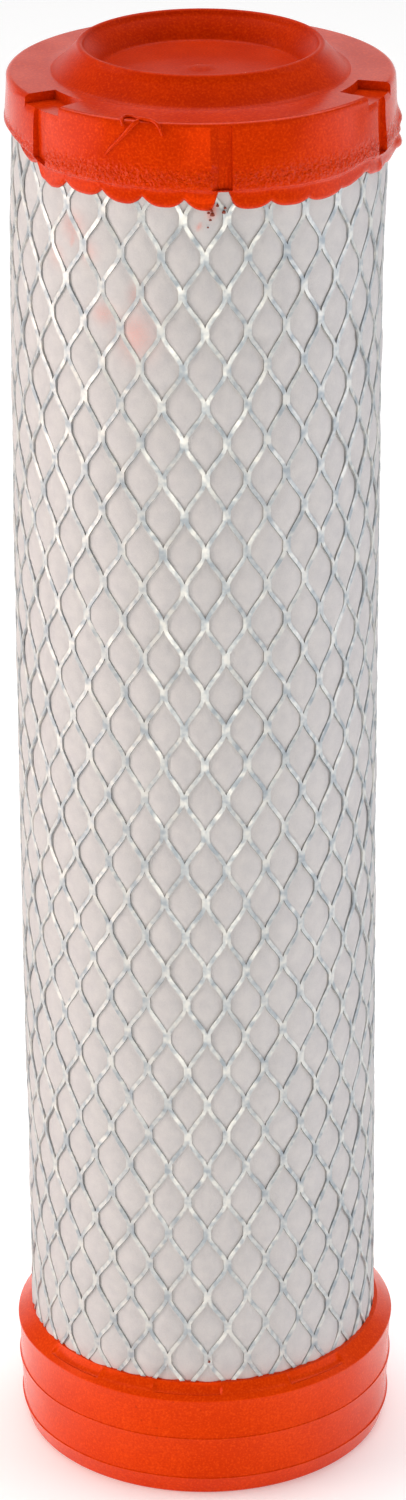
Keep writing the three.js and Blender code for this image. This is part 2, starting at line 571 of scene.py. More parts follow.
class Recipe:
    """A material being put together node by node."""

    def __init__(self, name: str) -> None:
        self.material = bpy.data.materials.new(name)
        self.material.use_nodes = True
        self.tree = self.material.node_tree
        self.tree.nodes.clear()

    def add(
        self, kind: str, inputs: dict[str | int, Any] | None = None, **settings: Any
    ) -> bpy.types.Node:
        """Adds a node, and fills each of its inputs with a value or a link to a socket.

        Args:
            kind: The node's type.
            inputs: For each input, by name or index, a value or the socket that feeds it.
            settings: Properties of the node itself.

        Returns:
            The node.
        """
        node = self.tree.nodes.new(kind)
        for name, value in settings.items():
            setattr(node, name, value)
        for key, value in (inputs or {}).items():
            if isinstance(value, bpy.types.NodeSocket):
                self.tree.links.new(value, node.inputs[key])
            else:
                node.inputs[key].default_value = value
        return node

    def layered(self, base: Any, layers: tuple) -> bpy.types.NodeSocket:
        """Lays colours over a base colour, each where a pattern asks for it.

        Args:
            base: A linear colour, or a socket that gives one.
            layers: For each, its pattern's socket, the pattern's values where the layer starts and
                where it is full, its full share, and its sRGB hex colour.

        Returns:
            The socket of the finished colour.
        """
        for pattern, start, full, share, colour in layers:
            limits = {"Value": pattern, "From Min": start, "From Max": full, "To Max": share}
            amount = self.add("ShaderNodeMapRange", limits).outputs["Result"]
            inputs = {0: amount, 6: base, 7: linear(colour)}
            base = self.add("ShaderNodeMix", inputs, data_type="RGBA").outputs[2]
        return base

    def finished(self, surface: dict[str, Any]) -> bpy.types.Material:
        """Ends the recipe in a shader with these inputs, and returns its material."""
        shader = self.add("ShaderNodeBsdfPrincipled", surface)
        self.add("ShaderNodeOutputMaterial", {"Surface": shader.outputs[0]})
        return self.material


def per_metre(size_mm: float) -> float:
    """Noise scale whose features are about this many millimetres.

    Args:
        size_mm: Size of one feature.

    Returns:
        The texture node's scale, for coordinates in metres.
    """
    return 1000.0 / size_mm


@dataclass(frozen=True)
class CastPolyurethane:
    """Self-skinned polyurethane, poured into an open mould: satin, finely pitted, faintly clouded.

    The tint of its highlights is there for the look, and isn't a property of the real resin.
    """

    name: str = "cast_polyurethane"
    colour: str = "#C63001"
    shade: str = "#B12301"
    light: str = "#D94208"
    sheen: str = "#FF4A14"
    char: str = "#8E2206"
    fleck: str = "#FFB08A"
    cloud_mm: float = 14.0
    grain_mm: float = 0.55
    roughness: float = 0.22
    specular: float = 0.5

    def make(self) -> bpy.types.Material:
        """Builds the material."""
        r = Recipe(self.name)
        at = r.add("ShaderNodeTexCoord").outputs["Object"]
        broad = {"Vector": at, "Scale": per_metre(self.cloud_mm), "Detail": 3.0}
        narrow = {"Vector": at, "Scale": per_metre(self.grain_mm), "Detail": 2.0}
        cloud = r.add("ShaderNodeTexNoise", broad)
        grain = r.add("ShaderNodeTexNoise", narrow)
        speck = r.add("ShaderNodeTexNoise", {"Vector": at, "Scale": per_metre(1.6), "Detail": 1.0})
        pitted = r.add("ShaderNodeAttribute", attribute_name="pitted").outputs["Fac"]
        dust = r.add("ShaderNodeTexVoronoi", {"Vector": at, "Scale": per_metre(9.0)}, feature="F1")

        layers = (
            (cloud.outputs["Fac"], 0.35, 0.65, 0.6, self.shade),
            (grain.outputs["Fac"], 0.5, 0.72, 0.75, self.shade),
            (grain.outputs["Fac"], 0.48, 0.3, 0.6, self.light),
            (speck.outputs["Fac"], 0.76, 0.8, 0.35, self.char),
            (dust.outputs["Distance"], 0.018, 0.012, 0.8, self.fleck),
        )
        base = r.layered(linear(self.colour), layers)
        uneven = {"To Min": self.roughness - 0.03, "To Max": self.roughness + 0.05}
        uneven |= {"Value": cloud.outputs["Fac"], "From Min": 0.3, "From Max": 0.7}
        rough = r.add("ShaderNodeMapRange", uneven)

        pits = r.add("ShaderNodeTexNoise", {"Vector": at, "Scale": per_metre(0.9), "Detail": 2.0})
        strength = r.add("ShaderNodeMapRange", {"Value": pitted}).outputs["Result"]
        coarse = {"Height": pits.outputs["Fac"], "Strength": strength, "Distance": 0.001}
        fine = {"Height": grain.outputs["Fac"], "Strength": 0.12, "Distance": 0.00008}
        fine["Normal"] = r.add("ShaderNodeBump", coarse).outputs["Normal"]
        skin = r.add("ShaderNodeBump", fine)
        return r.finished({
            "Base Color": base,
            "Roughness": rough.outputs["Result"],
            "Specular Tint": linear(self.sheen),
            "Specular IOR Level": self.specular,
            "Normal": skin.outputs["Normal"],
        })


@dataclass(frozen=True)
class GalvanisedSteel:
    """Slit and stretched steel sheet, galvanised: bright, a little uneven, dull where cut."""

    name: str = "galvanised_steel"
    colour: str = "#D0CFCA"
    dull: str = "#A8AFB4"
    spangle_mm: float = 2.4
    roughness: float = 0.55

    def make(self) -> bpy.types.Material:
        """Builds the material."""
        r = Recipe(self.name)
        at = r.add("ShaderNodeTexCoord").outputs["Object"]
        zinc = {"Vector": at, "Scale": per_metre(self.spangle_mm), "Detail": 2.0}
        spangle = r.add("ShaderNodeTexNoise", zinc)
        cut = r.add("ShaderNodeTexNoise", {"Vector": at, "Scale": per_metre(0.35), "Detail": 1.0})
        layers = ((spangle.outputs["Fac"], 0.35, 0.65, 1, self.dull),)
        uneven = {"To Min": self.roughness - 0.06, "To Max": self.roughness + 0.1}
        uneven |= {"Value": spangle.outputs["Fac"], "From Min": 0.3, "From Max": 0.7}
        burr = {"Height": cut.outputs["Fac"], "Strength": 0.25, "Distance": 0.00005}
        return r.finished({
            "Base Color": r.layered(linear(self.colour), layers),
            "Metallic": 1.0,
            "Roughness": r.add("ShaderNodeMapRange", uneven).outputs["Result"],
            "Normal": r.add("ShaderNodeBump", burr).outputs["Normal"],
        })


@dataclass(frozen=True)
class NeedledFelt:
    """Needled polyester felt: matt white fibre, stained orange where the caps' resin touched it."""

    name: str = "needled_felt"
    colour: str = "#C1BDBC"
    shade: str = "#B2AFB1"
    hair: str = "#DAD4D0"
    stain: str = "#E8571E"
    fibre_mm: float = 0.28

    def make(self) -> bpy.types.Material:
        """Builds the material."""
        r = Recipe(self.name)
        at = r.add("ShaderNodeTexCoord").outputs["Object"]
        wad = r.add("ShaderNodeTexNoise", {"Vector": at, "Scale": per_metre(3.2), "Detail": 3.0})
        fibre = r.add(
            "ShaderNodeTexNoise",
            {"Vector": at, "Scale": per_metre(self.fibre_mm), "Detail": 2.0, "Distortion": 1.2},
        )
        stained = r.add("ShaderNodeAttribute", attribute_name="stained").outputs["Fac"]
        gaps = {"Value": fibre.outputs["Fac"], "From Min": 0.35, "From Max": 0.6}
        gaps |= {"To Min": 0.55, "To Max": 1.1}
        soaked = {0: stained, 1: r.add("ShaderNodeMapRange", gaps).outputs["Result"]}
        broken = r.add("ShaderNodeMath", soaked, operation="MULTIPLY").outputs[0]
        layers = (
            (wad.outputs["Fac"], 0.35, 0.65, 0.55, self.shade),
            (fibre.outputs["Fac"], 0.3, 0.7, 0.25, self.hair),
        )
        clean = r.layered(linear(self.colour), layers)
        inputs = {0: broken, 6: clean, 7: linear(self.stain)}
        base = r.add("ShaderNodeMix", inputs, data_type="RGBA").outputs[2]
        loft = {"Height": wad.outputs["Fac"], "Strength": 0.35, "Distance": 0.0004}
        hair = {
            "Height": fibre.outputs["Fac"],
            "Strength": 0.5,
            "Distance": 0.00012,
            "Normal": r.add("ShaderNodeBump", loft).outputs["Normal"],
        }
        return r.finished({
            "Base Color": base,
            "Roughness": 0.96,
            "Specular IOR Level": 0.2,
            "Normal": r.add("ShaderNodeBump", hair).outputs["Normal"],
        })


@dataclass(frozen=True)
class PlainFinish:
    """An even finish of one colour, with a soft unevenness in its sheen."""

    name: str
    colour: str
    roughness: float
    glow: float = 0.0

    def make(self) -> bpy.types.Material:
        """Builds the material."""
        r = Recipe(self.name)
        at = r.add("ShaderNodeTexCoord").outputs["Object"]
        uneven = r.add("ShaderNodeTexNoise", {"Vector": at, "Scale": per_metre(4.0), "Detail": 2.0})
        limits = {"Value": uneven.outputs["Fac"], "From Min": 0.3, "From Max": 0.7}
        limits |= {"To Min": self.roughness - 0.05, "To Max": self.roughness + 0.05}
        return r.finished({
            "Base Color": linear(self.colour),
            "Roughness": r.add("ShaderNodeMapRange", limits).outputs["Result"],
            "Emission Color": linear("#FFFFFF"),
            "Emission Strength": self.glow,
        })


# ---------------------------------------------------------------- closed end


@dataclass
class ClosedEndSize:
    """Sizes of the closed end cap, in millimetres and degrees."""

    shoulder_height: float = 364.4
    shoulder_radius: float = 46.1
    shoulder_round: float = 1.2
    skirt_radius: float = 46.7
    step_height: float = 348.9
    step: float = 0.4
    flash_bottom: float = 343.9
    flash_radius: float = 45.8
    inner_radius: float = 44.3
    ring_radius: float = 28.65
    ring_round: float = 0.85
    ring_foot: float = 35.4
    dish_radius: float = 22.6
    dish_floor: float = 364.6
    groove_azimuth: float = 6.0
    groove_half_angle: float = 3.0
    groove_floor: float = 45.2
    grooves: int = 6
    pocket_half_angle: float = 8.5
    pocket_inner: float = 38.2
    pocket_edge: float = 45.8
    pocket_floor: float = 362.2
    sides: int = 720


class ClosedEnd:
    """The cap that closes the element, with its locating ring and the steel disc under it."""

    NODE = "closed_end_cap"
    DISC_NODE = "closing_disc"
    LOWER_EDGE = (  # azimuth, and how far the poured edge falls short there, in millimetres
        (-180, 3.0), (-150, 5.0), (-120, 6.5), (-90, 7.2), (-75, 7.0), (-66, 5.2), (-58, 3.4),
        (-54, 1.6), (-50, 0.5), (-38, 0.6), (-27, 0.3), (-12, -0.3), (0, -0.4), (15, -0.6),
        (30, -1.1), (45, -0.8), (57, 1.6), (62, 0.6), (68, 0.2), (76, 0.4), (90, 1.0), (140, 1.5),
        (180, 3.0),
    )
    LOBES = (0.0, 0.55, -0.25, 0.2, -0.5, 0.35, -0.1, 0.5, -0.35)
    BULGES = (  # azimuth, height, how far it stands out, half widths round and up
        (87.0, 353.2, 1.25, 4.0, 2.2),
        (89.0, 346.8, 1.9, 5.0, 2.8),
        (66.5, 345.8, 0.5, 1.4, 1.2),
        (-54.5, 346.0, 0.45, 1.3, 1.3),
    )

    DROPS = (  # azimuth, radius, height and size of each drop of resin
        (3.2, 46.1, 342.9, 0.5), (3.0, 46.1, 343.8, 0.4), (2.6, 46.1, 341.6, 0.4),
        (2.1, 46.1, 343.3, 0.32), (4.7, 45.9, 345.0, 0.38), (6.6, 45.5, 343.2, 0.42),
        (6.9, 45.6, 344.2, 0.32), (1.32, 45.5, 38.2, 0.4), (1.9, 46.3, 339.9, 0.25),
    )

    def __init__(self, pattern: ExpandedMetal) -> None:
        self.size = ClosedEndSize()
        self.pattern = pattern

    def build(self) -> None:
        """Turns the cap, sinks its pockets and grooves, and pours its uneven lower edge."""
        cap = self._turn_cap()
        self._sink_pockets(cap)
        self._sink_grooves(cap)
        move_points(cap, self._pour)
        self._mark_pits(cap)
        settle(cap, "closed_end_casting", 40)
        self.cap = cap
        self.thread = self._flash_thread()
        self.spatter = self._spatter()
        self.disc = self._closing_disc()

    def dress(
        self,
        urethane: bpy.types.Material,
        matt_painted_shade_urethane: bpy.types.Material,
        spatter: bpy.types.Material,
        steel: bpy.types.Material,
    ) -> None:
        """Gives each piece its finish and its CAD node; the dish and ring get a duller skin,
        darkened with painted shade.
        """
        fit_out(self.cap, urethane, Slot.URETHANE, self.NODE)
        self.cap.data.materials.append(matt_painted_shade_urethane)
        # The dish and ring take the second material, whose darker colour is painted shade.
        for face in self.cap.data.polygons:
            radius = math.hypot(face.center.x, face.center.y) / MM
            on_top = face.center.z / MM > self.size.shoulder_height + 0.02
            face.material_index = int(on_top and radius < self.size.ring_foot)
        fit_out(self.thread, urethane, Slot.URETHANE)
        fit_out(self.spatter, spatter, Slot.URETHANE)
        fit_out(self.disc, steel, Slot.STEEL, self.DISC_NODE)

    def _turn_cap(self) -> bpy.types.Object:
        """Turns the cap's section, from the dish's middle out over the skirt and back under."""
        s = self.size
        top = node_height(self.NODE)[1]
        crest = top - s.ring_round
        under = node_height(self.DISC_NODE)[1] + 0.3
        round_middle = (s.shoulder_radius - s.shoulder_round, s.shoulder_height - s.shoulder_round)
        section = Outline()
        section.line(1.0, s.dish_floor + 0.5).line(2.2, s.dish_floor + 0.42)
        section.line(3.4, s.dish_floor + 0.1)
        section.line(4.4, s.dish_floor).line(s.dish_radius, s.dish_floor, 3)
        section.curve(
            (s.dish_radius + 0.8, s.dish_floor), (s.dish_radius + 1.15, s.dish_floor + 0.85), 4
        )
        bend = (s.dish_radius + 2.4, s.dish_floor + 3.2)
        section.curve(bend, (s.ring_radius - s.ring_round, crest), 7)
        section.arc((s.ring_radius, crest), s.ring_round, 180, 0, 8)
        section.line(s.ring_foot - 1.1, s.shoulder_height + 0.62, 4)
        bend = (s.ring_foot - 0.4, s.shoulder_height + 0.03)
        section.curve(bend, (s.ring_foot + 0.5, s.shoulder_height), 5)
        section.line(s.pocket_inner, s.shoulder_height)
        section.line(s.shoulder_radius - s.shoulder_round, s.shoulder_height, 3)
        section.arc(round_middle, s.shoulder_round, 88, 0, 6)
        section.line(s.shoulder_radius + 0.05, s.pocket_floor)
        section.line(s.shoulder_radius + 0.1, s.pocket_floor - 1)
        section.line(s.skirt_radius, s.step_height + s.step, 12)
        section.line(s.skirt_radius - 0.2, s.step_height)
        section.line(s.flash_radius + 0.05, s.step_height - 0.65, 2)
        section.line(s.flash_radius - 0.1, s.step_height - 1.1)
        section.line(s.flash_radius, s.flash_bottom + 0.9, 3)
        section.line(s.flash_radius - 0.35, s.flash_bottom + 0.25)
        section.line(s.flash_radius - 0.85, s.flash_bottom)
        section.line(s.inner_radius, s.flash_bottom + 0.5)
        section.line(s.inner_radius, under + 1.4, 3)
        section.line(PLUG_RADIUS, under + 1.4)
        section.line(PLUG_RADIUS, under)
        section.line(1.0, under, 2)
        return section.turned("closed_end", s.sides)

    def _sink_pockets(self, cap: bpy.types.Object) -> None:
        """Sinks the three support pockets into the shoulder, open outwards over its rim."""
        s = self.size
        for i in range(1, s.grooves, 2):
            middle = s.groove_azimuth + i * 360 / s.grooves

            def in_pocket(centre: Vector, normal: Vector) -> bool:
                radius = math.hypot(centre.x, centre.y)
                azimuth = math.degrees(math.atan2(centre.x, -centre.y))
                inside = abs(turn_difference(azimuth, middle)) < s.pocket_half_angle
                return inside and radius > s.pocket_inner and centre.z > s.pocket_floor - 0.8

            def flatten(azimuth: float, radius: float, height: float) -> tuple[float, float, float]:
                if height < s.pocket_floor - 0.5:
                    return azimuth, radius, height
                held = min(max(radius, s.pocket_inner + 0.2), s.pocket_edge)
                return azimuth, held, s.pocket_floor

            with editing(cap, "FACE"):
                select_faces(cap, in_pocket)
                bpy.ops.mesh.extrude_region_move(TRANSFORM_OT_translate={"value": (0, 0, 0)})
                self._move_selected(cap, flatten)

    def _sink_grooves(self, cap: bpy.types.Object) -> None:
        """Pushes the six release grooves into the skirt, from its top round down to its step."""
        s = self.size
        grooves = [s.groove_azimuth + i * 360 / s.grooves for i in range(s.grooves)]

        def in_groove(centre: Vector, normal: Vector) -> bool:
            azimuth = math.degrees(math.atan2(centre.x, -centre.y))
            beside = min(abs(turn_difference(azimuth, g)) for g in grooves)
            radius = math.hypot(centre.x, centre.y)
            low, high = s.step_height - 0.1, s.shoulder_height - 0.75
            return beside < s.groove_half_angle and radius > s.pocket_edge and low < centre.z < high

        def press(azimuth: float, radius: float, height: float) -> tuple[float, float, float]:
            from_front = float(turn_difference(azimuth, s.groove_azimuth))
            if abs(from_front) < s.groove_half_angle + 0.5:  # the front one's left side is eased
                azimuth = s.groove_azimuth + 0.9 + 0.6 * from_front
            if radius < s.pocket_edge + 0.1 and height > s.pocket_floor - 0.1:
                height -= 0.4  # kept off the pocket's floor
            return azimuth, s.groove_floor, height

        with editing(cap, "FACE"):
            select_faces(cap, in_groove)
            bpy.ops.mesh.extrude_region_move(TRANSFORM_OT_translate={"value": (0, 0, 0)})
            self._move_selected(cap, press)
        close_up(cap)

    def _move_selected(
        self, cap: bpy.types.Object, rule: Callable[[float, float, float], tuple]
    ) -> None:
        """Moves the edited mesh's selected vertices by a rule on azimuth, radius and height."""
        mesh = bmesh.from_edit_mesh(cap.data)
        for vertex in mesh.verts:
            if vertex.select:
                x, y, z = vertex.co / MM
                vertex.co = place(*rule(math.degrees(math.atan2(x, -y)), math.hypot(x, y), z))
        bmesh.update_edit_mesh(cap.data)

    def _pour(self, azimuth: Points, radius: Points, height: Points) -> tuple:
        """Raises and scallops the lower edge, and adds the resin's pits, ripples and overflow."""
        s = self.size
        wrapped = (azimuth + 180) % 360 - 180
        table = np.array(self.LOWER_EDGE)
        short = np.interp(wrapped, table[:, 0], table[:, 1])

        cell = 360 / self.pattern.cells
        across = np.degrees(self.pattern.drift(azimuth, height)[0] / self.pattern.radius)
        place_in_row = (azimuth - across - self.pattern.knot_azimuth) / cell
        number = np.floor(place_in_row - 0.5).astype(int)
        in_lobe = np.abs((place_in_row - 0.5) % 1.0 - 0.5) * 2
        lobe_height = np.array(self.LOBES)[number % len(self.LOBES)]
        depth = np.interp(wrapped, (-180, -70, 5, 30, 60, 180), (1.6, 2.2, 2.4, 1.3, 0.7, 1.6))
        scallop = depth * (in_lobe**2.6 + 0.24 * lobe_height * (1 - in_lobe**2)) + 0.15
        gap = 4.7 * np.exp(-(np.abs((wrapped - s.groove_azimuth - 0.2) / 2.15) ** 2.8))

        edge = np.clip((s.step_height - height) / (s.step_height - s.flash_bottom - 0.9), 0, 1)
        low = np.where(radius < s.skirt_radius + 2, edge, 0)
        outer = radius > s.inner_radius - 0.05
        rise = np.where(outer, low * (scallop + gap), 0)
        free = np.maximum(s.step_height - s.flash_bottom - 0.6, 0.1)
        rise = np.minimum(rise, free * low)

        fade = 1 - smooth_step((height - s.step_height) / 6.0)
        lift = np.where(outer, short * 0.55 * np.clip(fade, 0, 1) + short * 0.45 * low, 0)
        new_height = height + rise + np.where(height < s.shoulder_height - 4, lift, 0)

        a = np.radians(azimuth)
        skirt = smooth_step((radius - 44.6) / 0.8) * (height < s.shoulder_height - 1)
        pit_zone = np.exp(-(((height - s.step_height - 2.6) / 2.2) ** 2))
        rng = np.random.default_rng(11)
        # Merging doubles leaves the vertices in a different order each run, so they are put in
        # order by their places before each takes its draw.
        in_order = np.lexsort((np.round(radius, 2), np.round(azimuth, 2), np.round(height, 2)))
        draws = np.empty(len(radius))
        draws[in_order] = rng.normal(0, 0.06, len(radius))
        pits = draws * pit_zone
        ripple = 0.05 * np.sin(7 * a + height / 3.1) + 0.05 * np.sin(13 * a - height / 2.2 + 1)
        bulge = np.zeros_like(radius)
        for at, level, out, wide, tall in self.BULGES:
            near = ((turn_difference(azimuth, at)) / wide) ** 2 + ((new_height - level) / tall) ** 2
            bulge += out * np.exp(-near)
        swell = 0.12 * np.sin(5 * a + 0.6) * edge
        return azimuth, radius + skirt * (pits + ripple + bulge + swell), new_height

    def _mark_pits(self, cap: bpy.types.Object) -> None:
        """Marks how pitted each point of the skin is, for its finish."""
        s = self.size
        marks = cap.data.attributes.new("pitted", "FLOAT", "POINT")
        for vertex, mark in zip(cap.data.vertices, marks.data):
            height = vertex.co.z / MM
            on_skirt = math.hypot(vertex.co.x, vertex.co.y) / MM > s.skirt_radius - 1
            near = math.exp(-(((height - s.step_height - 2.4) / 2.6) ** 2))
            mark.value = near if on_skirt else 0.0

    def _flash_thread(self) -> bpy.types.Object:
        """Two thin threads of resin that ran over the shoulder's edge and dried on the skirt."""
        runs = (  # azimuth, radius, height and thickness of each point
            (
                (-10.9, 46.8, 361.6, 0.45), (-11.4, 46.7, 363.2, 0.7), (-12.6, 46.0, 364.3, 0.85),
                (-14.4, 45.2, 364.7, 0.7), (-16.4, 45.0, 364.8, 0.8), (-18.4, 44.7, 364.8, 0.9),
                (-20.4, 43.7, 364.8, 0.75), (-22.4, 43.5, 364.8, 0.7), (-23.7, 44.5, 364.8, 0.75),
                (-23.3, 46.1, 364.4, 0.8), (-22.3, 46.7, 363.2, 0.5),
            ),
            (
                (-18.1, 45.7, 364.6, 0.8), (-19.2, 46.4, 364.0, 1.0), (-21.1, 46.6, 362.2, 0.9),
                (-22.7, 46.6, 360.6, 0.8), (-24.6, 46.6, 359.0, 0.75), (-26.4, 46.6, 357.6, 0.65),
                (-28.0, 46.6, 355.9, 0.45),
            ),
        )
        curve = bpy.data.curves.new("flash_thread", "CURVE")
        curve.dimensions = "3D"
        curve.bevel_depth = 0.6 * MM
        curve.bevel_resolution = 2
        curve.use_fill_caps = True
        for run in runs:
            line = curve.splines.new("NURBS")
            line.points.add(len(run) - 1)
            line.order_u = 3
            line.use_endpoint_u = True
            for point, (azimuth, radius, height, thickness) in zip(line.points, run):
                point.co = (*place(azimuth, radius, height), 1)
                point.radius = thickness
        thread = bpy.data.objects.new("flash_thread", curve)
        bpy.context.scene.collection.objects.link(thread)
        activate(thread)
        bpy.ops.object.convert(target="MESH")
        close_up(bpy.context.object)
        return settle(bpy.context.object, "flash_thread", 60)

    def _spatter(self) -> bpy.types.Object:
        """Small dried drops of resin on the lattice and felt, below the edge and near the base."""
        rng = np.random.default_rng(5)
        mesh = bmesh.new()
        for azimuth, radius, height, size in self.DROPS:
            drop = bmesh.ops.create_icosphere(mesh, subdivisions=2, radius=size * MM)["verts"]
            middle = place(azimuth, radius, height)
            stretch = Vector(rng.uniform(0.7, 1.25, 3))
            for vertex in drop:
                lump = 1 + 0.18 * math.sin(4 * vertex.co.z / (size * MM) + 3 * stretch.x)
                vertex.co = Vector(a * b for a, b in zip(vertex.co * lump, stretch)) + middle
        data = bpy.data.meshes.new("resin_spatter")
        mesh.to_mesh(data)
        mesh.free()
        spatter = bpy.data.objects.new("resin_spatter", data)
        bpy.context.scene.collection.objects.link(spatter)
        return settle(spatter, "resin_spatter", 60)

    def _closing_disc(self) -> bpy.types.Object:
        """Turns the flanged disc that closes the core."""
        low, top = node_height(self.DISC_NODE)
        radius = node_radius(self.DISC_NODE)
        wall = 0.8
        section = Outline()
        section.line(1.0, top - wall).line(radius - 2 * wall, top - wall)
        section.arc((radius - 2 * wall, top - 2 * wall), wall, 90, 0, 4)
        section.line(radius - wall, low).line(radius, low)
        section.line(radius, top - 1.5 * wall)
        section.arc((radius - 1.5 * wall, top - 1.5 * wall), 1.5 * wall, 0, 90, 5)
        section.line(1.0, top)
        return settle(section.turned("closing_disc_pressing", 128), "closing_disc_pressing")


# ---------------------------------------------------------------- open end


@dataclass
class OpenEndSize:
    """Sizes of the open end cap, in millimetres and degrees."""

    bore_radius: float = 31.5
    bore_top: float = 24.0
    lead_in: float = 3.0
    base_radius: float = 47.1
    base_round: float = 0.9
    lower_rib: tuple[float, float] = (48.4, 5.2)
    waist_radius: float = 48.2
    upper_rib: tuple[float, float] = (48.9, 17.2)
    rim: tuple[float, float] = (49.1, 28.8)
    ledge_top: float = 31.9
    inner_radius: float = 44.3
    channel_floor: float = 4.0
    recess_azimuths: tuple[float, ...] = (-56.5, -35.0, -16.5, 5.6, 27.0, 48.5)
    recess_depth: float = 0.7
    sides: int = 540


class OpenEnd:
    """The cap with the outlet bore, on which the element stands."""

    NODE = "open_end_cap"

    def __init__(self) -> None:
        self.size = OpenEndSize()

    def build(self) -> None:
        """Turns the cap with its ribs and its bore, and sinks the shallow arcs in its ledge."""
        s = self.size
        rib_r, rib_z = s.lower_rib
        top_r, top_z = s.upper_rib
        rim_r, rim_z = s.rim
        waist_z = (rib_z + top_z) / 2
        section = Outline()
        section.line(s.bore_radius + s.lead_in + 0.4, 0)
        section.line(s.base_radius - s.base_round, 0, 4)
        section.arc((s.base_radius - s.base_round, s.base_round), s.base_round, -90, -8, 5)
        section.line(rib_r - 0.12, rib_z - 0.35, 3)
        section.line(rib_r, rib_z).line(rib_r - 0.28, rib_z + 0.22)
        section.line(s.waist_radius, waist_z, 3).line(top_r - 0.1, top_z - 0.4, 3)
        section.line(top_r, top_z).line(top_r - 0.26, top_z + 0.2)
        section.curve((s.waist_radius + 0.1, top_z + 5), (rim_r - 0.12, rim_z - 0.9), 7)
        section.arc((rim_r - 0.4, rim_z - 0.4), 0.4, 0, 58, 4)
        section.line(s.inner_radius + 1.1, s.ledge_top, 7)
        section.line(s.inner_radius, s.ledge_top + 0.15)
        section.line(s.inner_radius, s.channel_floor, 4).line(PLUG_RADIUS, s.channel_floor)
        section.line(PLUG_RADIUS, s.bore_top - 0.6, 3).line(PLUG_RADIUS - 0.6, s.bore_top)
        section.line(s.bore_radius + s.lead_in / 2, s.bore_top)
        section.line(s.bore_radius, s.bore_top - s.lead_in, 2).line(s.bore_radius, 2 * s.lead_in, 6)
        section.line(s.bore_radius + s.lead_in - 0.2, 0.35, 3)
        section.line(s.bore_radius + s.lead_in + 0.4, 0)
        cap = section.turned("open_end", s.sides)
        move_points(cap, self._mould)
        self.cap = settle(cap, "open_end_casting", 28)

    def dress(self, urethane: bpy.types.Material) -> None:
        """Gives the cap its finish and its CAD node."""
        fit_out(self.cap, urethane, Slot.URETHANE, self.NODE)

    def _mould(self, azimuth: Points, radius: Points, height: Points) -> tuple:
        """Sinks the ledge's arcs beside the felt, and leaves a hand-filled mould's faint waves."""
        s = self.size
        wrapped = (azimuth + 180) % 360 - 180
        marks = np.array(s.recess_azimuths)
        nearest = np.min(np.abs(wrapped[:, None] - marks[None, :]), axis=1)
        between = smooth_step((nearest - 0.25) / 0.5)
        in_span = (wrapped > marks[0]) & (wrapped < marks[-1])
        depth_here = np.where(in_span, 0.35 + 0.65 * (np.digitize(wrapped, marks) % 2), 0.0)
        across = smooth_step((radius - 45.5) / 0.3) * (1 - smooth_step((radius - 47.3) / 0.3))
        on_ledge = height > s.rim[1] + 0.4
        fall = np.where(on_ledge, s.recess_depth * across * between * depth_here, 0)
        a = np.radians(azimuth)
        wave = 0.06 * np.sin(6 * a + height / 9) + 0.05 * np.sin(11 * a - height / 6 + 2)
        outer = smooth_step((radius - 46.0) / 1.5) * smooth_step(height / 4)
        return azimuth, radius + outer * wave, height - fall


# ---------------------------------------------------------------- filter stack


@dataclass(frozen=True)
class Stain:
    """A soft mark of resin on the felt: where it is, its size in millimetres and its strength."""

    azimuth: float
    height: float
    size: float
    strength: float
    tall: float = 1.0


RESIN_STAINS = (
    Stain(-40.6, 336.7, 3.4, 0.24),
    Stain(-47.3, 328.2, 2.6, 0.16),
    Stain(-34.7, 331.0, 2.4, 0.2),
    Stain(-29.2, 316.8, 3.0, 0.26, 0.8),
    Stain(-18.6, 312.3, 4.4, 0.3, 1.2),
    Stain(-18.5, 322.1, 1.8, 0.22, 1.6),
    Stain(-40.8, 333.2, 0.7, 0.7),
    Stain(3.6, 343.2, 1.0, 0.85, 1.3),
    Stain(2.4, 344.6, 0.7, 0.7),
    Stain(0.0, 339.5, 0.6, 0.5),
)


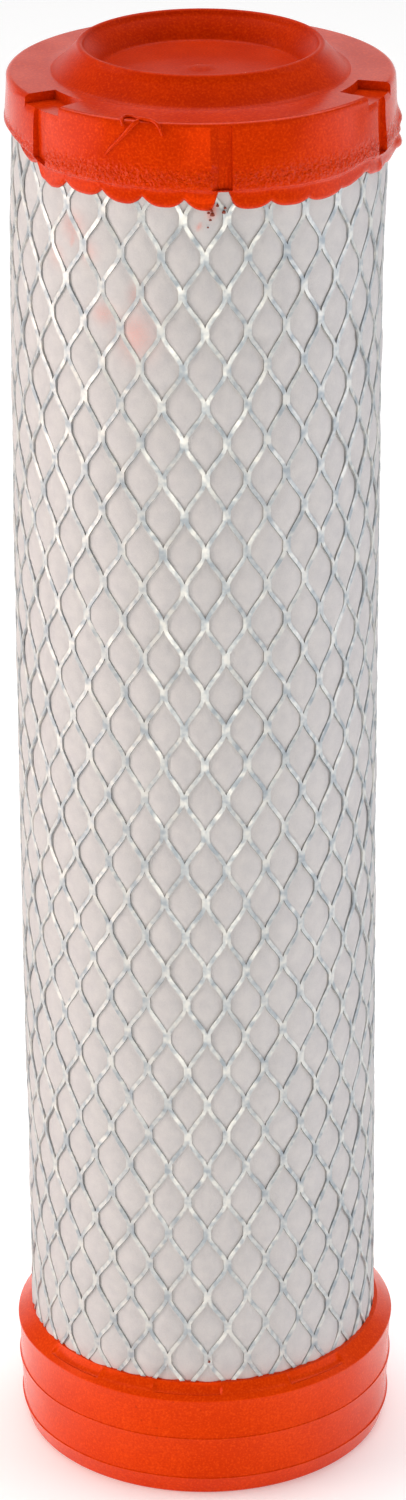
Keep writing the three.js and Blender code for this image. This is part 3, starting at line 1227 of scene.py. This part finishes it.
@dataclass(frozen=True)
class FeltPly:
    """One felt ply: a closed tube whose outside or inside swells through the lattice beside it."""

    name: str
    outer: float
    inner: float
    bottom: float
    top: float
    seam_azimuth: float
    swell: float = 0.75
    swell_reach: float = 3.2
    swells_outwards: bool = True
    columns: int = 336
    rows: int = 250

    @property
    def face(self) -> float:
        """Radius of the side that swells through the lattice."""
        return self.outer if self.swells_outwards else self.inner

    @property
    def back(self) -> float:
        """Radius of the plain side."""
        return self.inner if self.swells_outwards else self.outer

    def build(self, pattern: ExpandedMetal) -> bpy.types.Object:
        """Wraps a grid round the tube, gives it a wall and swells it between the strands.

        Args:
            pattern: The lattice that holds the ply.

        Returns:
            The ply as one closed mesh.
        """
        bpy.ops.object.select_all(action="DESELECT")
        bpy.ops.mesh.primitive_grid_add(
            x_subdivisions=self.columns, y_subdivisions=self.rows, size=1
        )
        ply = bpy.context.object
        mesh = ply.data
        for vertex in mesh.vertices:
            azimuth = vertex.co.x * 360 + 180
            height = self.bottom + (vertex.co.y + 0.5) * (self.top - self.bottom)
            vertex.co = place(azimuth, self.face, height)
        close_up(ply, 0.02)
        with editing(ply, "EDGE"):
            bpy.ops.mesh.select_all(action="SELECT")
            bpy.ops.mesh.region_to_loop()
            for share in (0.5, 1.0):
                start = self.face + (self.back - self.face) * (share - 0.5)
                end = self.face + (self.back - self.face) * share
                bpy.ops.mesh.extrude_edges_move()
                ratio = end / start
                bpy.ops.transform.resize(value=(ratio, ratio, 1), center_override=(0, 0, 0))
            bpy.ops.mesh.bridge_edge_loops()
            bpy.ops.mesh.select_all(action="SELECT")
            bpy.ops.mesh.normals_make_consistent(inside=False)
        move_points(ply, lambda a, r, z: (a, self._puffed(pattern, a, r, z), z))
        self._mark_stains(ply)
        move_points(ply, pattern.bowed)
        return settle(ply, self.name, 80)

    def _puffed(
        self, pattern: ExpandedMetal, azimuth: Points, radius: Points, height: Points
    ) -> Points:
        """Radius of each point once the felt stands proud between the strands.

        Args:
            pattern: The lattice beside the ply.
            azimuth: Degrees from the front.
            radius: Millimetres from the axis.
            height: Millimetres above the open end.

        Returns:
            The new radii.
        """
        from_strand = pattern.distance_to_strand(azimuth, height)
        t = np.clip(from_strand / self.swell_reach, 0, 1)
        pillow = self.swell * np.sin(t * math.pi / 2) ** 0.85
        on_face = np.abs(radius - self.face) < 0.05
        way = 1.0 if self.swells_outwards else -1.0
        a = np.radians(azimuth)
        soft = 0.1 * np.sin(9 * a + height / 4.7) + 0.08 * np.sin(17 * a - height / 6.1)
        seam = 0.8 * np.exp(-((turn_difference(azimuth, self.seam_azimuth) / 2.2) ** 2))
        fold = np.interp(azimuth, (-12, -6, 4, 14, 58, 66), (317.0, 317.1, 316, 312.3, 305.7, 304))
        reach = np.interp(azimuth, (-14, -8, 0, 4, 14, 60, 70), (0, 0.5, 0.5, 0.2, 1, 0.8, 0))
        seam = seam + 0.4 * reach * np.exp(-(((height - fold) / 0.7) ** 2))
        return radius + way * np.where(on_face, pillow + soft - seam, 0)

    def _mark_stains(self, ply: bpy.types.Object) -> None:
        """Marks how stained with resin each point of the felt is."""
        mesh = ply.data
        flat = np.empty(len(mesh.vertices) * 3)
        mesh.vertices.foreach_get("co", flat)
        x, y, z = flat.reshape(-1, 3).T / MM
        azimuth = np.degrees(np.arctan2(x, -y))
        stained = 0.32 * np.exp(-np.maximum(z - 31.5, 0) / 1.3)
        for stain in RESIN_STAINS:
            round_mm = np.radians(turn_difference(azimuth, stain.azimuth)) * self.outer
            up = (z - stain.height) / (stain.size * stain.tall)
            distance = np.hypot(round_mm / stain.size, up)
            stained = np.maximum(stained, stain.strength * np.exp(-(distance**2)))
        marks = mesh.attributes.new("stained", "FLOAT", "POINT")
        marks.data.foreach_set("value", stained.astype(np.float32))


class FilterStack:
    """Two expanded-metal liners, the two felt plies between them and the plies' glued joints."""

    def __init__(self) -> None:
        bottom, top = node_height("outer_liner")
        outer, inner = [node_radius(n) - LINER_WALL / 2 for n in ("outer_liner", "inner_liner")]
        self.outer_pattern = ExpandedMetal(outer, 28, bottom, top)
        self.inner_pattern = ExpandedMetal(
            inner, 22, bottom, top, knot_azimuth=5.0, knot_height=33.0
        )
        self.bottom, self.top = bottom, top

    def build(self) -> None:
        """Models both lattices, both plies and both glue beads."""
        outer_face = node_radius("outer_felt_ply") + 0.3
        split = node_radius("inner_felt_ply")
        core_face = node_radius("inner_liner") + 0.3
        self.outer_liner = self.outer_pattern.build("outer_expanded_metal")
        self.inner_liner = self.inner_pattern.build("inner_expanded_metal")
        self.outer_ply = FeltPly(
            "outer_felt", outer_face, split + 0.35, self.bottom, self.top, OUTER_SEAM_AZIMUTH
        ).build(self.outer_pattern)
        self.inner_ply = FeltPly(
            "inner_felt", split + 0.05, core_face + 0.2, self.bottom, self.top, INNER_SEAM_AZIMUTH,
            swell=0.7, swells_outwards=False, columns=264, rows=200,
        ).build(self.inner_pattern)
        self.outer_seam = self._seam("outer_glue_bead", OUTER_SEAM_AZIMUTH, outer_face - 0.55)
        self.inner_seam = self._seam("inner_glue_bead", INNER_SEAM_AZIMUTH, core_face + 0.75)

    def dress(
        self, steel: bpy.types.Material, felt: bpy.types.Material, glue: bpy.types.Material
    ) -> None:
        """Gives each layer its finish and its CAD node."""
        fit_out(self.outer_liner, steel, Slot.STEEL, "outer_liner")
        fit_out(self.inner_liner, steel, Slot.STEEL, "inner_liner")
        fit_out(self.outer_ply, felt, Slot.FELT, "outer_felt_ply")
        fit_out(self.inner_ply, felt, Slot.FELT, "inner_felt_ply")
        fit_out(self.outer_seam, glue, Slot.GLUE, "outer_felt_seam")
        fit_out(self.inner_seam, glue, Slot.GLUE, "inner_felt_seam")

    def _seam(self, name: str, azimuth: float, radius: float) -> bpy.types.Object:
        """Extrudes a bead of glue up a ply's joint, thicker and thinner as a hand gun leaves it."""
        rng = np.random.default_rng(abs(int(azimuth)))
        bpy.ops.object.select_all(action="DESELECT")
        bpy.ops.mesh.primitive_circle_add(vertices=12, radius=1.0 * MM, fill_type="NGON")
        bead = bpy.context.object
        activate(bead)
        steps = 90
        rise = (self.top - self.bottom) / steps
        start = place(azimuth, radius, self.bottom)
        with editing(bead):
            bpy.ops.mesh.select_all(action="SELECT")
            bpy.ops.transform.translate(value=start)
            size = 1.0
            for i in range(steps):
                up = {"value": (0, 0, rise * MM)}
                bpy.ops.mesh.extrude_region_move(TRANSFORM_OT_translate=up)
                wanted = 1.0 + rng.uniform(-0.16, 0.16)
                middle = (start.x, start.y, start.z + rise * (i + 1) * MM)
                ratio = wanted / size
                bpy.ops.transform.resize(value=(ratio, ratio, 1), center_override=middle)
                size = wanted
        close_up(bead)
        move_points(bead, self.outer_pattern.bowed)
        return settle(bead, name, 60)


# ---------------------------------------------------------------- studio


class Studio:
    """White sweep, soft boxes and the camera."""

    def build(self) -> None:
        """Sets the floor, the world, the lamps and the camera."""
        self._floor()
        self._world()
        self._softbox("overhead", (0, 0.55, 2.0), 2.4, 1.4, 33.0, "#FFFFFF")
        self._softbox("back", (0, 2.3, 0.55), 4.4, 1.15, 10.0, "#FFFFFF")
        self._softbox("left", (-1.2, -0.2, 0.5), 0.9, 1.1, 11.6, "#FFF1EA")
        self._softbox("right", (1.2, -0.2, 0.5), 0.9, 1.1, 6.1, "#F3F6FF")
        self._softbox("front", (0.04, -1.4, 0.2), 0.5, 0.9, 9.2, "#FFFCF4")
        self._camera()
        bpy.context.scene.view_settings.view_transform = "Standard"

    def _floor(self) -> None:
        """A plain white floor."""
        bpy.ops.object.select_all(action="DESELECT")
        bpy.ops.mesh.primitive_plane_add(size=40, location=(0, 0, 0))
        floor = bpy.context.object
        floor.name = "floor"
        floor.data.materials.append(PlainFinish("light_table", "#FAFAFA", 0.9, glow=0.16).make())

    def _world(self) -> None:
        """An even, near-white surround."""
        world = bpy.data.worlds.new("white_studio")
        world.use_nodes = True
        surround = world.node_tree.nodes["Background"]
        surround.inputs["Color"].default_value = linear("#FFFFFF")
        surround.inputs["Strength"].default_value = 0.2
        bpy.context.scene.world = world

    def _softbox(
        self, name: str, place_at: tuple, width: float, height: float, watts: float, colour: str
    ) -> None:
        """A soft box that faces the middle of the element."""
        light = bpy.data.lights.new(name, "AREA")
        light.color = linear(colour)[:3]
        light.shape = "RECTANGLE"
        light.size, light.size_y = width, height
        light.energy = watts
        box = bpy.data.objects.new(name, light)
        box.location = place_at
        towards = Vector((0, 0, 0.18)) - Vector(place_at)
        box.rotation_euler = towards.to_track_quat("-Z", "Y").to_euler()
        bpy.context.scene.collection.objects.link(box)

    def _camera(self) -> None:
        """The camera, above the element's middle and looking down at it."""
        lens = bpy.data.cameras.new("camera")
        lens.lens = 118.9
        lens.sensor_width = 36
        camera = bpy.data.objects.new("camera", lens)
        camera.location = (0, -1.1358, 0.6898)
        tilt = Matrix.Rotation(math.radians(66.175), 4, "X")
        roll = Matrix.Rotation(math.radians(-0.19), 4, "Z")
        camera.rotation_euler = (tilt @ roll).to_euler()
        bpy.context.scene.collection.objects.link(camera)
        bpy.context.scene.camera = camera


# ---------------------------------------------------------------- everything together


def main() -> None:
    """Builds the element from its stack outwards, dresses it and sets up the studio."""
    steel = GalvanisedSteel().make()
    urethane = CastPolyurethane().make()
    # Three variants of one resin: the dish and ring take a duller copy whose darker colour is
    # painted shade, and the open end a copy whose brighter colour is painted light.
    matt_painted_shade_urethane = CastPolyurethane(
        "cast_polyurethane_matt_painted_shade", "#BE2D01", "#A92001", "#CF3C06",
        roughness=0.34, specular=0.1,
    ).make()
    # Painted light: this copy for the open end is brighter than the closed cap's resin.
    painted_light_urethane = CastPolyurethane(
        "cast_polyurethane_open_end_painted_light", "#D73B04", "#C72F02", "#E64C10"
    ).make()
    felt = NeedledFelt().make()
    glue = PlainFinish("hot_melt_glue", "#D9CFAE", 0.4).make()

    stack = FilterStack()
    stack.build()
    stack.dress(steel, felt, glue)

    closed_end = ClosedEnd(stack.outer_pattern)
    closed_end.build()
    burnt = PlainFinish("burnt_resin_drops", "#7E2A0C", 0.4).make()
    closed_end.dress(urethane, matt_painted_shade_urethane, burnt, steel)

    open_end = OpenEnd()
    open_end.build()
    open_end.dress(painted_light_urethane)

    Studio().build()


if __name__ == "__main__":
    main()
